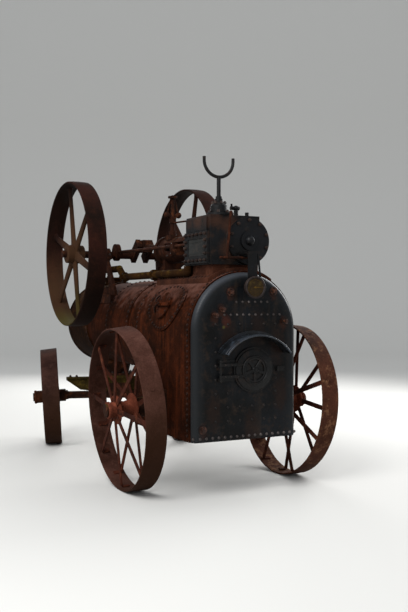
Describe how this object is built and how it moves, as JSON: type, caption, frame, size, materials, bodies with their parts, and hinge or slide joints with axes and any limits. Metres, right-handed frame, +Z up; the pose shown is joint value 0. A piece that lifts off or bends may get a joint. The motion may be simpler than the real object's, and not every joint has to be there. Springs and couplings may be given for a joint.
{
  "type": "portable steam engine",
  "caption": "Derelict portable steam engine: fire-tube boiler on four iron wheels, cylinder over the firebox, crankshaft with two flywheels, steering fore-carriage, chimney missing.",
  "frame": {"origin": "on the ground, at the centre of the bounding box in plan", "axes": "+Z up, +Y along the boiler towards the smokebox and the steering wheels, +X to the engine's right as seen from the fire door"},
  "size_m": [1.9758, 3.8342, 2.8509],
  "materials": {
    "firebox_wrapper": "heavy reddish-brown rust",
    "backhead": "worn dark blue-black paint",
    "inner_firebox": "heavy reddish-brown rust",
    "foundation_ring": "heavy reddish-brown rust",
    "boiler_barrel": "heavy reddish-brown rust",
    "smokebox": "heavy reddish-brown rust",
    "smokebox_front": "heavy reddish-brown rust",
    "tube_plate": "heavy reddish-brown rust",
    "chimney_base": "heavy reddish-brown rust",
    "cylinder_saddle": "heavy reddish-brown rust",
    "cylinder_block": "weathered dark iron with rust streaks",
    "cylinder_rear_cover": "worn dark blue-black paint",
    "chest_cover": "weathered dark iron with rust streaks",
    "steam_dome": "heavy reddish-brown rust",
    "chimney_crutch": "heavy reddish-brown rust",
    "top_valve": "heavy reddish-brown rust",
    "drain_pipes": "heavy reddish-brown rust",
    "pressure_gauge": "tarnished, lichen stained",
    "gauge_bracket": "worn dark blue-black paint",
    "trunk_guide": "heavy reddish-brown rust",
    "governor": "heavy reddish-brown rust",
    "connecting_rod": "heavy reddish-brown rust",
    "crankshaft": "heavy reddish-brown rust",
    "crank_brackets": "heavy reddish-brown rust",
    "valve_gear": "heavy reddish-brown rust",
    "flywheel_left": "heavy reddish-brown rust",
    "flywheel_right": "heavy reddish-brown rust",
    "exhaust_pipe": "rust under ochre lichen",
    "manhole": "heavy reddish-brown rust",
    "fire_hood": "worn dark blue-black paint",
    "fire_door_ring": "black oxide with rust",
    "backhead_fittings": "heavy reddish-brown rust",
    "rear_axle_left": "heavy reddish-brown rust",
    "rear_axle_right": "heavy reddish-brown rust",
    "fore_pedestal": "dark rusted casting",
    "fire_door": "black oxide with rust",
    "smokebox_door": "heavy reddish-brown rust",
    "rear_wheel_left": "heavy reddish-brown rust",
    "rear_wheel_right": "heavy reddish-brown rust",
    "front_axle": "dark rusted casting",
    "fore_bolster": "rust under ochre lichen",
    "front_wheel_left": "heavy reddish-brown rust",
    "front_wheel_right": "heavy reddish-brown rust"
  },
  "bodies": {
    "engine": {"firebox_wrapper": "firebox_wrapper", "backhead": "backhead", "inner_firebox": "inner_firebox", "foundation_ring": "foundation_ring", "boiler_barrel": "boiler_barrel", "smokebox": "smokebox", "smokebox_front": "smokebox_front", "tube_plate": "tube_plate", "chimney_base": "chimney_base", "cylinder_saddle": "cylinder_saddle", "cylinder_block": "cylinder_block", "cylinder_rear_cover": "cylinder_rear_cover", "chest_cover": "chest_cover", "steam_dome": "steam_dome", "chimney_crutch": "chimney_crutch", "top_valve": "top_valve", "drain_pipes": "drain_pipes", "pressure_gauge": "pressure_gauge", "gauge_bracket": "gauge_bracket", "trunk_guide": "trunk_guide", "governor": "governor", "connecting_rod": "connecting_rod", "crankshaft": "crankshaft", "crank_brackets": "crank_brackets", "valve_gear": "valve_gear", "flywheel_left": "flywheel_left", "flywheel_right": "flywheel_right", "exhaust_pipe": "exhaust_pipe", "manhole": "manhole", "fire_hood": "fire_hood", "fire_door_ring": "fire_door_ring", "backhead_fittings": "backhead_fittings", "rear_axle_left": "rear_axle_left", "rear_axle_right": "rear_axle_right", "fore_pedestal": "fore_pedestal"},
    "rear_wheel_left": {"rear_wheel_left": "rear_wheel_left"},
    "rear_wheel_right": {"rear_wheel_right": "rear_wheel_right"},
    "fore_carriage": {"front_axle": "front_axle", "fore_bolster": "fore_bolster"},
    "front_wheel_left": {"front_wheel_left": "front_wheel_left"},
    "front_wheel_right": {"front_wheel_right": "front_wheel_right"},
    "fire_door": {"fire_door": "fire_door"},
    "smokebox_door": {"smokebox_door": "smokebox_door"}
  },
  "joints": [
    {"name": "rear_wheel_left_spin", "type": "hinge", "parent": "engine", "child": "rear_wheel_left", "pos_m": [-0.813, -1.14011, 0.68886], "axis": [0.9983, 0, 0.0576], "continuous": true},
    {"name": "rear_wheel_right_spin", "type": "hinge", "parent": "engine", "child": "rear_wheel_right", "pos_m": [0.813, -1.14011, 0.68886], "axis": [0.9983, 0, -0.0576], "continuous": true},
    {"name": "steering", "type": "hinge", "parent": "engine", "child": "fore_carriage", "pos_m": [0, 1.18089, 0.76412], "axis": [0, 0, 1], "range_deg": [-19.1, 50.9]},
    {"name": "front_wheel_left_spin", "type": "hinge", "parent": "fore_carriage", "child": "front_wheel_left", "pos_m": [-0.72611, 1.38773, 0.52912], "axis": [0.9601, -0.2735, 0.0576], "continuous": true},
    {"name": "front_wheel_right_spin", "type": "hinge", "parent": "fore_carriage", "child": "front_wheel_right", "pos_m": [0.72611, 0.97405, 0.52912], "axis": [0.9601, -0.2735, -0.0576], "continuous": true},
    {"name": "fire_door_hinge", "type": "hinge", "parent": "engine", "child": "fire_door", "pos_m": [-0.248, -1.82111, 1.035], "axis": [0, 0, -1], "range_deg": [0, 110]},
    {"name": "smokebox_door_hinge", "type": "hinge", "parent": "engine", "child": "smokebox_door", "pos_m": [-0.342, 1.63089, 1.355], "axis": [0, 0, 1], "range_deg": [0, 120]}
  ]
}
